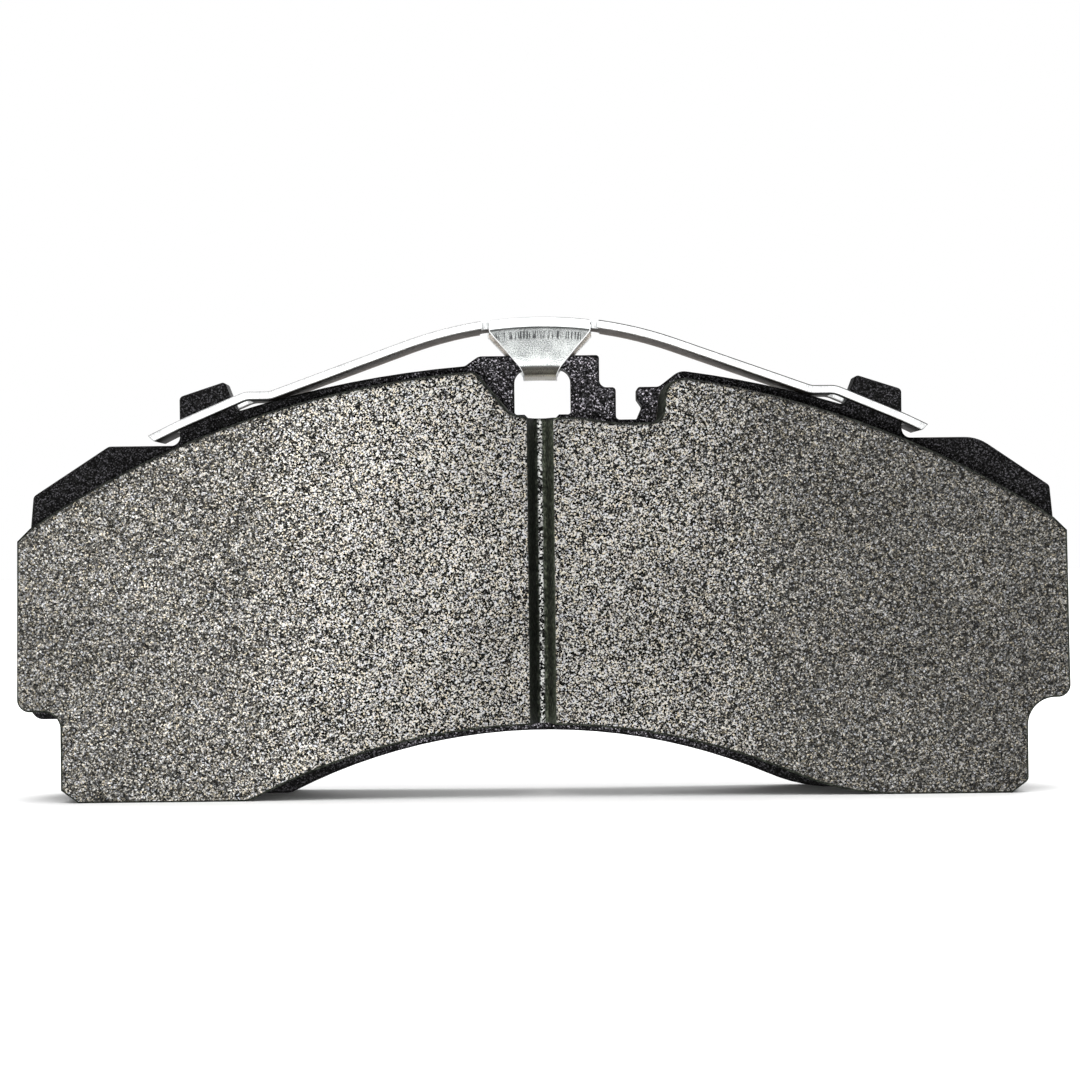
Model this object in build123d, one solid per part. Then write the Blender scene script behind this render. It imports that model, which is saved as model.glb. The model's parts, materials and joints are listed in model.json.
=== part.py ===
"""Air disc brake pad for a heavy vehicle, standing upright, with its leaf retaining spring.

X runs along the pad, Y goes from the friction face (front, -Y) to the pressure face (rear, +Y),
Z is up. The origin is at the middle of the bounding box, on the surface the pad stands on.
Outlines are drawn in X and Z and extruded along Y.
"""

import os
from math import asin, atan2, cos, degrees, radians, sin, sqrt, tan

from build123d import *

# ---- driving dimensions, millimetres and degrees ----

# Depths, front to rear
LINING_THICKNESS = 18.8
UNDERLAYER_THICKNESS = 2.0
ADHESIVE_THICKNESS = 0.2
PLATE_THICKNESS = 9.0
SPRING_WIDTH = 20.0

# Backing plate outline
PLATE_HALF_WIDTH = 125.2
ABUTMENT_TOP = 60.0
SHOULDER_HALF_WIDTH = 124.0
SHOULDER_LOW = 73.0
SHOULDER_HIGH = 85.0
SHOULDER_FLAT_END_LEFT = 105.5
SHOULDER_FLAT_END_RIGHT = 106.5
PLATE_TOP_RADIUS = 252.0
PLATE_TOP_APEX = 104.3
PLATE_ARCH_RADIUS = 138.0
PLATE_ARCH_APEX = 14.7
LEG_HALF_WIDTH = 115.2
LEG_CHAMFER = 3.6
NOTCH_LEFT = 18.6
NOTCH_RIGHT = 21.6
LUG_OUTER = 88.1
LUG_OUTER_TOP = 96.9
LUG_INNER = 77.0
LUG_INNER_TOP = 100.5
LUG_ROOT = 74.2
LUG_RELIEF = 0.4
LUG_RELIEF_CLEARANCE = 0.9
PLATE_EDGE_BREAK = 0.35

# Corner radii of the plate
FOOT_CORNER_LEFT = 3.0
FOOT_CORNER_RIGHT = 6.0
NOTCH_CORNER = 3.0
SHOULDER_CORNER = 1.5
SHOULDER_END_LEFT = 2.0
SHOULDER_END_RIGHT = 10.0
LUG_FOOT_CORNER = 2.2
LUG_TOP_CORNER = 1.2
LUG_PEAK_CORNER = 0.9
ROOT_CORNER = 1.5
ARCH_END_LEFT = 4.0
ARCH_END_RIGHT = 40.0

# Bridge over the window, and the wear sensor's slot beside it
BRIDGE_TOP = 106.0
BRIDGE_LEFT = -15.0
BRIDGE_LEFT_FOOT = -18.4
BRIDGE_RIGHT = 14.4
BRIDGE_CORNER_LEFT = 2.5
BRIDGE_CORNER_RIGHT = 0.8
WINDOW_LEFT = -6.4
WINDOW_RIGHT = 7.4
WINDOW_BOTTOM = 91.6
WINDOW_TOP = 102.9
WINDOW_CORNER = 3.2
WINDOW_NOTCH = (-2.4, 3.0)
WINDOW_NOTCH_BOTTOM = 90.1
WINDOW_FLOOR_CORNER = 0.8
SENSOR_LEDGE = 98.1
SENSOR_LEFT = 18.4
SENSOR_RIGHT = 23.5
SENSOR_KEY = (24.8, 93.3)
SENSOR_KEY_TOP = 95.2
SENSOR_BOTTOM = 90.2
SENSOR_LEDGE_CORNER = 1.8
SENSOR_MOUTH_CORNER = 0.9
SENSOR_INNER_CORNER = 0.7
SENSOR_LEDGE_END = 28.9
SENSOR_LEDGE_END_CORNER = 2.0
TOP_RESUMES = 34.0
TOP_RESUMES_CORNER = 4.0

# Holes in the plate that the underlayer is pressed into
RETENTION_HOLES = ((24.0, 62.0), (58.0, 36.0), (72.0, 68.0), (102.0, 44.0))
RETENTION_RADIUS = 6.0
RETENTION_FLARE = 0.8
RETENTION_RECESS = 0.5

# Lining outline, at the friction face
LINING_HALF_WIDTH_LOW = 124.6
LINING_HALF_WIDTH_HIGH = 124.1
LINING_SHOULDER = 62.0
LINING_SHOULDER_CUT = 121.0
LINING_TOP_RADIUS = 218.6
LINING_TOP_APEX = 101.6
LINING_ARCH_RADIUS = 150.0
LINING_ARCH_APEX = 17.3
LINING_LEG_HALF_WIDTH = 114.4
LINING_NOTCH_LEFT = 21.6
LINING_NOTCH_RIGHT = 22.5
LINING_FOOT = 110.4
LINING_FOOT_CHAMFER = 3.0
LINING_FOOT_CORNER = 1.5
LINING_LEG_CORNER_LEFT = 4.0
LINING_LEG_CORNER_RIGHT = 6.5
LINING_NOTCH_CORNER = 3.0
LINING_ARCH_END_LEFT = 6.0
LINING_ARCH_END_RIGHT = 60.0
LINING_DRAFT = 2.0
LINING_EDGE_BREAK = 0.45

# Cut-out in the top of the lining, below the window and the sensor slot
CUTOUT_LEFT_TOP = -15.6
CUTOUT_LEFT_FOOT = (-7.4, 91.1)
CUTOUT_FLOOR_LEFT = 89.9
CUTOUT_FLOOR_RIGHT = 88.5
CUTOUT_FLOOR_START = -3.0
CUTOUT_STEP = (9.0, 18.3)
CUTOUT_RIGHT = 29.9
CUTOUT_RIGHT_LEAN = 1.2
CUTOUT_TOP_CORNER_LEFT = 1.5
CUTOUT_TOP_CORNER_RIGHT = 4.5
CUTOUT_FOOT_CORNER_LEFT = 3.0
CUTOUT_FOOT_CORNER_RIGHT = 2.5
CUTOUT_STEP_CORNER = 7.0

# Groove down the middle of the lining
GROOVE_X = -0.2
GROOVE_HALF_WIDTH = 3.15
GROOVE_FLOOR_HALF_WIDTH = 1.35
GROOVE_DEPTH = 17.0
GROOVE_FLOOR_ROUND = 0.9

# Leaf retaining spring
LEAF_THICKNESS = 1.9
CROWN_TOP = 115.2
CROWN_RADIUS = 98.0
ARM_SLOPE = 19.74
JOGGLE_START = 65.7
JOGGLE_END = 71.6
TAIL_SLOPE = 23.0
TAIL_KNEE = 88.5
TIP_LEFT = 95.2
TIP_RIGHT = 93.8
TIP_DROOP = 3.0
HEEL_BEND = 5.0
TOE_BEND = 5.0
KNEE_BEND = 40.0
TIP_CORNER = 1.2
LUG_SLOT = (71.4, 89.0)
LUG_SLOT_WIDTH = 9.8
LUG_SLOT_CORNER = 1.6

# Wings folded down from the crown, each ending in a lip under the bridge
WING_HALF_WIDTH = 12.3
WING_FOOT_HALF_WIDTH = 4.1
WING_FOOT = 101.9
REAR_WING_EXTRA = 0.7
REAR_FOOT_EXTRA = 0.1
FOLD_RADIUS = 2.5
FOLD_STRAIGHT = 0.4
LIP_BOTTOM = 100.8
LIP_SLOPE = 4.0
LIP_REACH = 9.4
RELIEF_WIDTH = 1.9
RELIEF_DEPTH = 3.4

# A reach well past the pad in every direction, for cutting and masking
BEYOND = 200.0

# ---- depths along Y, worked out from the above ----

SPRING_OVERHANG = (SPRING_WIDTH - PLATE_THICKNESS) / 2
DEPTH = LINING_THICKNESS + UNDERLAYER_THICKNESS + ADHESIVE_THICKNESS + PLATE_THICKNESS + SPRING_OVERHANG
FRICTION_Y = -DEPTH / 2
UNDERLAYER_Y = FRICTION_Y + LINING_THICKNESS
ADHESIVE_Y = UNDERLAYER_Y + UNDERLAYER_THICKNESS
PLATE_Y = ADHESIVE_Y + ADHESIVE_THICKNESS
PRESSURE_Y = PLATE_Y + PLATE_THICKNESS
MIDDLE_Y = (PLATE_Y + PRESSURE_Y) / 2
SPRING_Y = MIDDLE_Y - SPRING_WIDTH / 2


# ---- drawing helpers ----


def outline(start, *steps):
    """A closed flat face. A step is the next point, or (point on the arc, end of the arc)."""
    edges = []
    here = start
    for step in steps:
        if isinstance(step[0], tuple):
            through, end = step
            edges.append(Edge.make_three_point_arc(here, through, end))
        else:
            end = step
            edges.append(Edge.make_line(here, end))
        here = end
    edges.append(Edge.make_line(here, start))
    return Face(Wire(edges))


def rounded(face, corners):
    """The face with each listed corner (across, up, radius) rounded off."""
    for across, up, radius in corners:
        nearest = min(face.vertices(), key=lambda vertex: (Vector(*vertex) - Vector(across, up)).length)
        face = face.fillet_2d(radius, [nearest])
    return face


def extruded(face, front, back, taper=0.0):
    """The outline as a solid from Y = front to Y = back. A positive taper widens it to the back."""
    placed = Plane.XZ.offset(-front) * face
    return extrude(placed, amount=back - front, dir=(0, 1, 0), taper=-taper)


def block(x_range, y_range, z_range):
    low, high = zip(x_range, y_range, z_range)
    size = [b - a for a, b in zip(low, high)]
    centre = [(a + b) / 2 for a, b in zip(low, high)]
    return Pos(*centre) * Box(*size)


def crown_z(apex, radius, x):
    """Height at x of a round top with its highest point at x = 0."""
    return apex - radius + sqrt(radius**2 - x**2)


def crown_x(apex, radius, z):
    """Where that round top comes down to height z."""
    return sqrt(radius**2 - (z - apex + radius) ** 2)


def broken_edges(solid, size, *depths):
    """The solid with the outer edges of its faces at those depths chamfered."""
    flat = solid.faces().filter_by(Axis.Y)
    faces = [min(flat, key=lambda face: abs(face.center().Y - y)) for y in depths]
    return solid.chamfer(size, None, [edge for face in faces for edge in face.outer_wire().edges()])


# ---- backing plate ----


def plate_top(x):
    return crown_z(PLATE_TOP_APEX, PLATE_TOP_RADIUS, x)


def plate_outline():
    arch_end = crown_x(PLATE_ARCH_APEX, PLATE_ARCH_RADIUS, 0)
    face = outline(
        (-LEG_HALF_WIDTH + LEG_CHAMFER, 0),
        (-LEG_HALF_WIDTH, LEG_CHAMFER),
        (-LEG_HALF_WIDTH, NOTCH_LEFT),
        (-PLATE_HALF_WIDTH, NOTCH_LEFT),
        (-PLATE_HALF_WIDTH, ABUTMENT_TOP),
        (-SHOULDER_HALF_WIDTH, SHOULDER_LOW),
        (-SHOULDER_FLAT_END_LEFT, SHOULDER_HIGH),
        (-LUG_OUTER, SHOULDER_HIGH),
        (-LUG_OUTER, LUG_OUTER_TOP),
        (-LUG_INNER, LUG_INNER_TOP),
        (-LUG_ROOT, plate_top(LUG_ROOT)),
        ((-45, plate_top(45)), (BRIDGE_LEFT_FOOT, plate_top(BRIDGE_LEFT_FOOT))),
        (BRIDGE_LEFT, BRIDGE_TOP),
        (BRIDGE_RIGHT, BRIDGE_TOP),
        (BRIDGE_RIGHT, SENSOR_LEDGE),
        (SENSOR_LEFT, SENSOR_LEDGE),
        (SENSOR_LEFT, SENSOR_BOTTOM),
        (SENSOR_RIGHT, SENSOR_BOTTOM),
        SENSOR_KEY,
        (SENSOR_RIGHT, SENSOR_KEY_TOP),
        (SENSOR_RIGHT, SENSOR_LEDGE),
        (SENSOR_LEDGE_END, SENSOR_LEDGE),
        (TOP_RESUMES, plate_top(TOP_RESUMES)),
        ((50, plate_top(50)), (LUG_ROOT, plate_top(LUG_ROOT))),
        (LUG_INNER, LUG_INNER_TOP),
        (LUG_OUTER, LUG_OUTER_TOP),
        (LUG_OUTER, SHOULDER_HIGH),
        (SHOULDER_FLAT_END_RIGHT, SHOULDER_HIGH),
        (SHOULDER_HALF_WIDTH, SHOULDER_LOW),
        (PLATE_HALF_WIDTH, ABUTMENT_TOP),
        (PLATE_HALF_WIDTH, NOTCH_RIGHT),
        (LEG_HALF_WIDTH, NOTCH_RIGHT),
        (LEG_HALF_WIDTH, LEG_CHAMFER),
        (LEG_HALF_WIDTH - LEG_CHAMFER, 0),
        (arch_end, 0),
        ((0, PLATE_ARCH_APEX), (-arch_end, 0)),
    )
    corners = [
        (-LEG_HALF_WIDTH, NOTCH_LEFT, FOOT_CORNER_LEFT),
        (LEG_HALF_WIDTH, NOTCH_RIGHT, FOOT_CORNER_RIGHT),
        (-PLATE_HALF_WIDTH, NOTCH_LEFT, NOTCH_CORNER),
        (PLATE_HALF_WIDTH, NOTCH_RIGHT, NOTCH_CORNER),
        (-SHOULDER_FLAT_END_LEFT, SHOULDER_HIGH, SHOULDER_END_LEFT),
        (SHOULDER_FLAT_END_RIGHT, SHOULDER_HIGH, SHOULDER_END_RIGHT),
        (BRIDGE_LEFT_FOOT, plate_top(BRIDGE_LEFT_FOOT), ROOT_CORNER),
        (BRIDGE_LEFT, BRIDGE_TOP, BRIDGE_CORNER_LEFT),
        (BRIDGE_RIGHT, BRIDGE_TOP, BRIDGE_CORNER_RIGHT),
        (BRIDGE_RIGHT, SENSOR_LEDGE, SENSOR_LEDGE_CORNER),
        (SENSOR_LEFT, SENSOR_LEDGE, SENSOR_MOUTH_CORNER),
        (SENSOR_LEFT, SENSOR_BOTTOM, SENSOR_MOUTH_CORNER),
        (SENSOR_RIGHT, SENSOR_BOTTOM, SENSOR_INNER_CORNER),
        (*SENSOR_KEY, SENSOR_INNER_CORNER),
        (SENSOR_RIGHT, SENSOR_KEY_TOP, SENSOR_INNER_CORNER),
        (SENSOR_RIGHT, SENSOR_LEDGE, SENSOR_MOUTH_CORNER),
        (SENSOR_LEDGE_END, SENSOR_LEDGE, SENSOR_LEDGE_END_CORNER),
        (TOP_RESUMES, plate_top(TOP_RESUMES), TOP_RESUMES_CORNER),
        (arch_end, 0, ARCH_END_RIGHT),
        (-arch_end, 0, ARCH_END_LEFT),
    ]
    for side in (-1, 1):
        corners += [
            (side * SHOULDER_HALF_WIDTH, SHOULDER_LOW, SHOULDER_CORNER),
            (side * LUG_OUTER, SHOULDER_HIGH, LUG_FOOT_CORNER),
            (side * LUG_OUTER, LUG_OUTER_TOP, LUG_TOP_CORNER),
            (side * LUG_INNER, LUG_INNER_TOP, LUG_PEAK_CORNER),
            (side * LUG_ROOT, plate_top(LUG_ROOT), ROOT_CORNER),
        ]
    return rounded(face, corners)


def window_outline():
    notch_left, notch_right = WINDOW_NOTCH
    slant = WINDOW_BOTTOM - WINDOW_NOTCH_BOTTOM
    face = outline(
        (WINDOW_LEFT, WINDOW_BOTTOM),
        (WINDOW_LEFT, WINDOW_TOP),
        (WINDOW_RIGHT, WINDOW_TOP),
        (WINDOW_RIGHT, WINDOW_BOTTOM),
        (notch_right + slant, WINDOW_BOTTOM),
        (notch_right, WINDOW_NOTCH_BOTTOM),
        (notch_left, WINDOW_NOTCH_BOTTOM),
        (notch_left - slant, WINDOW_BOTTOM),
    )
    return rounded(
        face,
        [
            (WINDOW_LEFT, WINDOW_TOP, WINDOW_CORNER),
            (WINDOW_RIGHT, WINDOW_TOP, WINDOW_CORNER),
            (WINDOW_LEFT, WINDOW_BOTTOM, WINDOW_FLOOR_CORNER),
            (WINDOW_RIGHT, WINDOW_BOTTOM, WINDOW_FLOOR_CORNER),
            (notch_right, WINDOW_NOTCH_BOTTOM, WINDOW_FLOOR_CORNER),
            (notch_left, WINDOW_NOTCH_BOTTOM, WINDOW_FLOOR_CORNER),
        ],
    )


def retention_cores(back):
    """The round cores of the retention holes, straight and then flared towards the rear face."""
    flare_start = PRESSURE_Y - RETENTION_FLARE
    cores = []
    for x, z in RETENTION_HOLES:
        for side in (-1, 1):
            circle = Face(Wire.make_circle(RETENTION_RADIUS, Plane((side * x, z, 0))))
            cores.append(extruded(circle, ADHESIVE_Y, flare_start))
            cores.append(extruded(circle, flare_start, back, taper=45))
    return cores


def lug_relief(side):
    """The shallow step in one lug's rear face, which keeps it clear of the leaf's tail."""
    start, end = LUG_ROOT - 1, LUG_OUTER + 1
    low = [
        (side * x, tail_top(x) - LEAF_THICKNESS / cos(radians(TAIL_SLOPE)) - LUG_RELIEF_CLEARANCE)
        for x in (start, end)
    ]
    step = outline(*low, (side * end, BRIDGE_TOP), (side * start, BRIDGE_TOP))
    return extruded(step, PRESSURE_Y - LUG_RELIEF, PRESSURE_Y + 1)


def backing_plate():
    plate = extruded(plate_outline(), PLATE_Y, PRESSURE_Y)
    plate = broken_edges(plate, PLATE_EDGE_BREAK, PLATE_Y, PRESSURE_Y)
    plate -= extruded(window_outline(), PLATE_Y, PRESSURE_Y)
    for core in retention_cores(PRESSURE_Y):
        plate -= core
    for side in (-1, 1):
        plate -= lug_relief(side)
    return plate


# ---- friction lining, underlayer and adhesive ----


def lining_top(x):
    return crown_z(LINING_TOP_APEX, LINING_TOP_RADIUS, x)


def lining_outline():
    arch_end = crown_x(LINING_ARCH_APEX, LINING_ARCH_RADIUS, 0)
    shoulder_top = lining_top(LINING_SHOULDER_CUT)
    step_start, step_end = CUTOUT_STEP
    face = outline(
        (-LINING_FOOT, 0),
        (-LINING_LEG_HALF_WIDTH, LINING_FOOT_CHAMFER),
        (-LINING_LEG_HALF_WIDTH, LINING_NOTCH_LEFT),
        (-LINING_HALF_WIDTH_LOW, LINING_NOTCH_LEFT),
        (-LINING_HALF_WIDTH_HIGH, LINING_SHOULDER),
        (-LINING_SHOULDER_CUT, shoulder_top),
        ((-70, lining_top(70)), (CUTOUT_LEFT_TOP, lining_top(CUTOUT_LEFT_TOP))),
        CUTOUT_LEFT_FOOT,
        (CUTOUT_FLOOR_START, CUTOUT_FLOOR_LEFT),
        (step_start, CUTOUT_FLOOR_LEFT),
        (step_end, CUTOUT_FLOOR_RIGHT),
        (CUTOUT_RIGHT - CUTOUT_RIGHT_LEAN, CUTOUT_FLOOR_RIGHT),
        (CUTOUT_RIGHT, lining_top(CUTOUT_RIGHT)),
        ((75, lining_top(75)), (LINING_SHOULDER_CUT, shoulder_top)),
        (LINING_HALF_WIDTH_HIGH, LINING_SHOULDER),
        (LINING_HALF_WIDTH_LOW, LINING_NOTCH_RIGHT),
        (LINING_LEG_HALF_WIDTH, LINING_NOTCH_RIGHT),
        (LINING_LEG_HALF_WIDTH, LINING_FOOT_CHAMFER),
        (LINING_FOOT, 0),
        (arch_end, 0),
        ((0, LINING_ARCH_APEX), (-arch_end, 0)),
    )
    return rounded(
        face,
        [
            (-LINING_LEG_HALF_WIDTH, LINING_NOTCH_LEFT, LINING_LEG_CORNER_LEFT),
            (-LINING_HALF_WIDTH_LOW, LINING_NOTCH_LEFT, LINING_NOTCH_CORNER),
            (LINING_LEG_HALF_WIDTH, LINING_NOTCH_RIGHT, LINING_LEG_CORNER_RIGHT),
            (LINING_HALF_WIDTH_LOW, LINING_NOTCH_RIGHT, LINING_NOTCH_CORNER),
            (LINING_LEG_HALF_WIDTH, LINING_FOOT_CHAMFER, LINING_FOOT_CORNER),
            (CUTOUT_LEFT_TOP, lining_top(CUTOUT_LEFT_TOP), CUTOUT_TOP_CORNER_LEFT),
            (*CUTOUT_LEFT_FOOT, CUTOUT_FOOT_CORNER_LEFT),
            (step_end, CUTOUT_FLOOR_RIGHT, CUTOUT_STEP_CORNER),
            (step_start, CUTOUT_FLOOR_LEFT, CUTOUT_STEP_CORNER),
            (CUTOUT_RIGHT - CUTOUT_RIGHT_LEAN, CUTOUT_FLOOR_RIGHT, CUTOUT_FOOT_CORNER_RIGHT),
            (CUTOUT_RIGHT, lining_top(CUTOUT_RIGHT), CUTOUT_TOP_CORNER_RIGHT),
            (arch_end, 0, LINING_ARCH_END_RIGHT),
            (-arch_end, 0, LINING_ARCH_END_LEFT),
        ],
    )


def friction_block():
    """The moulded block of lining and underlayer together, flat where the pad stands on it."""
    moulded = extruded(lining_outline(), FRICTION_Y, ADHESIVE_Y, taper=LINING_DRAFT)
    moulded = broken_edges(moulded, LINING_EDGE_BREAK, FRICTION_Y)
    return moulded - block((-BEYOND, BEYOND), (-BEYOND, BEYOND), (-BEYOND, 0))


def groove():
    """The full-height groove with leaning walls and a rounded floor, drawn in X and Y."""
    floor_y = FRICTION_Y + GROOVE_DEPTH
    profile = outline(
        (GROOVE_X - GROOVE_HALF_WIDTH, FRICTION_Y),
        (GROOVE_X - GROOVE_FLOOR_HALF_WIDTH, floor_y),
        (GROOVE_X + GROOVE_FLOOR_HALF_WIDTH, floor_y),
        (GROOVE_X + GROOVE_HALF_WIDTH, FRICTION_Y),
    )
    corners = [
        (GROOVE_X + side * GROOVE_FLOOR_HALF_WIDTH, floor_y, GROOVE_FLOOR_ROUND) for side in (-1, 1)
    ]
    return extrude(rounded(profile, corners), amount=PLATE_TOP_APEX, dir=(0, 0, 1))


def friction_lining(moulded):
    lining = moulded & block((-BEYOND, BEYOND), (-BEYOND, UNDERLAYER_Y), (-BEYOND, BEYOND))
    return lining - groove()


def underlayer(moulded):
    layer = moulded & block((-BEYOND, BEYOND), (UNDERLAYER_Y, ADHESIVE_Y), (-BEYOND, BEYOND))
    for core in retention_cores(PRESSURE_Y - RETENTION_RECESS):
        layer += core
    return layer


def adhesive_film(moulded):
    back = max(moulded.faces().filter_by(Axis.Y), key=lambda face: face.center().Y)
    film = extrude(back, amount=ADHESIVE_THICKNESS, dir=(0, 1, 0))
    for core in retention_cores(PRESSURE_Y):
        film -= core
    return film


# ---- leaf retaining spring ----

CROWN_CENTRE_Z = CROWN_TOP - CROWN_RADIUS
ARM_START = CROWN_RADIUS * sin(radians(ARM_SLOPE))
ARM_START_Z = CROWN_CENTRE_Z + CROWN_RADIUS * cos(radians(ARM_SLOPE))
HEEL_Z = ARM_START_Z - (JOGGLE_START - ARM_START) * tan(radians(ARM_SLOPE))
FOLD_END = CROWN_TOP - FOLD_RADIUS - FOLD_STRAIGHT


def swept_over_crown(profile, half_angle):
    """A section in Y and Z at the crown, swept either side of the middle along the crown's arc."""
    axis = Axis((0, 0, CROWN_CENTRE_Z), (0, 1, 0))
    started = profile.rotate(axis, -half_angle)
    return revolve(started, axis, 2 * half_angle)


def section(*points, corners=()):
    """A closed section in the plane X = 0, from points in Y and Z."""
    return Plane.YZ * rounded(outline(*points), corners)


def wing_section():
    """The front wing: the fold at the crown's edge, the flap and the lip that turns in under the bridge."""
    front = SPRING_Y
    back = front + LEAF_THICKNESS
    reach = front + LIP_REACH
    drop = LIP_REACH * tan(radians(LIP_SLOPE))
    return section(
        (front, CROWN_TOP),
        (front + 2 * FOLD_RADIUS, CROWN_TOP),
        (front + 2 * FOLD_RADIUS, CROWN_TOP - LEAF_THICKNESS),
        (back, CROWN_TOP - LEAF_THICKNESS),
        (back, LIP_BOTTOM + LEAF_THICKNESS),
        (reach, LIP_BOTTOM + LEAF_THICKNESS - drop),
        (reach, LIP_BOTTOM - drop),
        (front, LIP_BOTTOM),
        corners=[
            (front, CROWN_TOP, FOLD_RADIUS),
            (back, CROWN_TOP - LEAF_THICKNESS, FOLD_RADIUS - LEAF_THICKNESS),
            (front, LIP_BOTTOM, FOLD_RADIUS),
            (back, LIP_BOTTOM + LEAF_THICKNESS, FOLD_RADIUS - LEAF_THICKNESS),
        ],
    )


def wing(top, foot):
    """One wing, tapering from half-width top at the fold to half-width foot at the lip."""
    swept = swept_over_crown(wing_section(), degrees(asin(top / CROWN_RADIUS)))
    mask = outline(
        (-top, FOLD_END),
        (-top, CROWN_TOP + 1),
        (top, CROWN_TOP + 1),
        (top, FOLD_END),
        (foot, WING_FOOT),
        (foot, 0),
        (-foot, 0),
        (-foot, WING_FOOT),
    )
    return swept & extruded(mask, SPRING_Y - 1, SPRING_Y + LIP_REACH + 1)


def leaf_relief(near):
    """The slot that frees one end of a fold from the crown's edge."""
    middle = near + RELIEF_WIDTH / 2
    slot = block((near, near + RELIEF_WIDTH), (-BEYOND, SPRING_Y + RELIEF_DEPTH), (0, BEYOND))
    end = Pos(middle, SPRING_Y + RELIEF_DEPTH, BEYOND / 2) * Cylinder(RELIEF_WIDTH / 2, BEYOND)
    return slot + end


def spring_crown():
    strip = section(
        (SPRING_Y, CROWN_TOP),
        (SPRING_Y + SPRING_WIDTH, CROWN_TOP),
        (SPRING_Y + SPRING_WIDTH, CROWN_TOP - LEAF_THICKNESS),
        (SPRING_Y, CROWN_TOP - LEAF_THICKNESS),
    )
    crown = swept_over_crown(strip, ARM_SLOPE)
    turn_round = Pos(0, MIDDLE_Y, 0) * Rot(0, 0, 180) * Pos(0, -MIDDLE_Y, 0)
    front = (Pos(0, 0, 0), WING_HALF_WIDTH, WING_FOOT_HALF_WIDTH)
    rear = (turn_round, WING_HALF_WIDTH + REAR_WING_EXTRA, WING_FOOT_HALF_WIDTH + REAR_FOOT_EXTRA)
    for place, top, foot in (front, rear):
        edge = block((-top, top), (-BEYOND, SPRING_Y + FOLD_RADIUS), (0, BEYOND))
        crown -= place * edge
        for near in (top, -top - RELIEF_WIDTH):
            crown -= place * leaf_relief(near)
        crown += place * wing(top, foot)
    return crown


def tail_top(x):
    """Height of the straight tail's top surface."""
    return HEEL_Z - (x - JOGGLE_END) * tan(radians(TAIL_SLOPE))


def arm_top_line(tip):
    """Corners of the arm's top surface in X and Z, from the crown's end to the tip."""
    tip_z = tail_top(TAIL_KNEE) - (tip - TAIL_KNEE) * tan(radians(TAIL_SLOPE + TIP_DROOP))
    return [
        (ARM_START, ARM_START_Z),
        (JOGGLE_START, HEEL_Z),
        (JOGGLE_END, HEEL_Z),
        (TAIL_KNEE, tail_top(TAIL_KNEE)),
        (tip, tip_z),
    ]


def parallel_below(points, distance):
    """The corners of a line that runs a set distance below a line of two or more straight runs."""
    slopes = [atan2(b[1] - a[1], b[0] - a[0]) for a, b in zip(points, points[1:])]
    turned = [slopes[0], *[(a + b) / 2 for a, b in zip(slopes, slopes[1:])], slopes[-1]]
    reach = [1.0, *[cos((b - a) / 2) for a, b in zip(slopes, slopes[1:])], 1.0]
    return [
        (x + distance / share * sin(angle), z - distance / share * cos(angle))
        for (x, z), angle, share in zip(points, turned, reach)
    ]


def spring_arm(side):
    """One arm: straight run, step that rests on the plate, and tail with the slot for the lug."""
    tip = TIP_RIGHT if side > 0 else TIP_LEFT
    top = arm_top_line(tip)
    below = parallel_below(top, LEAF_THICKNESS)
    over_radii = (HEEL_BEND, TOE_BEND + LEAF_THICKNESS, KNEE_BEND + LEAF_THICKNESS)
    under_radii = (HEEL_BEND + LEAF_THICKNESS, TOE_BEND, KNEE_BEND)
    corners = [(*point, radius) for point, radius in zip(top[1:4], over_radii)]
    corners += [(*point, radius) for point, radius in zip(below[1:4], under_radii)]
    band = rounded(outline(*top, *reversed(below)), corners)
    arm = extruded(band, SPRING_Y, SPRING_Y + SPRING_WIDTH)

    plan = block((0, tip), (SPRING_Y, SPRING_Y + SPRING_WIDTH), (0, BEYOND))
    tip_corners = [edge for edge in plan.edges().filter_by(Axis.Z) if edge.center().X > ARM_START]
    arm &= plan.fillet(TIP_CORNER, tip_corners)

    slot_y = (MIDDLE_Y - LUG_SLOT_WIDTH / 2, MIDDLE_Y + LUG_SLOT_WIDTH / 2)
    slot = block(LUG_SLOT, slot_y, (0, BEYOND))
    arm -= slot.fillet(LUG_SLOT_CORNER, slot.edges().filter_by(Axis.Z))
    return arm if side > 0 else arm.mirror(Plane.YZ)


def main():
    os.makedirs("parts", exist_ok=True)
    moulded = friction_block()
    nodes = {
        "backing_plate": backing_plate(),
        "friction_lining": friction_lining(moulded),
        "underlayer": underlayer(moulded),
        "adhesive_film": adhesive_film(moulded),
        "spring_crown": spring_crown(),
        "spring_arm_left": spring_arm(-1),
        "spring_arm_right": spring_arm(1),
    }
    for name, shape in nodes.items():
        export_step(shape, f"parts/{name}.step")


main()
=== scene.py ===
"""Looks for a heavy-vehicle disc brake pad: coated plate, friction lining and zinc-plated leaf spring.

The plate, lining, underlayer and film are the CAD nodes with detailed materials. The leaf spring is one
bent strip that crosses two joints, so three dense meshes replace its CAD nodes; the crown's mesh rides on
the crown's body.
Leaf lengths are in millimetres and become metres when the mesh is made.
"""

import json
from math import asin, ceil, cos, pi, radians, sin, sqrt, tan

import bmesh
import bpy
from mathutils import Matrix, Vector

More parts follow.
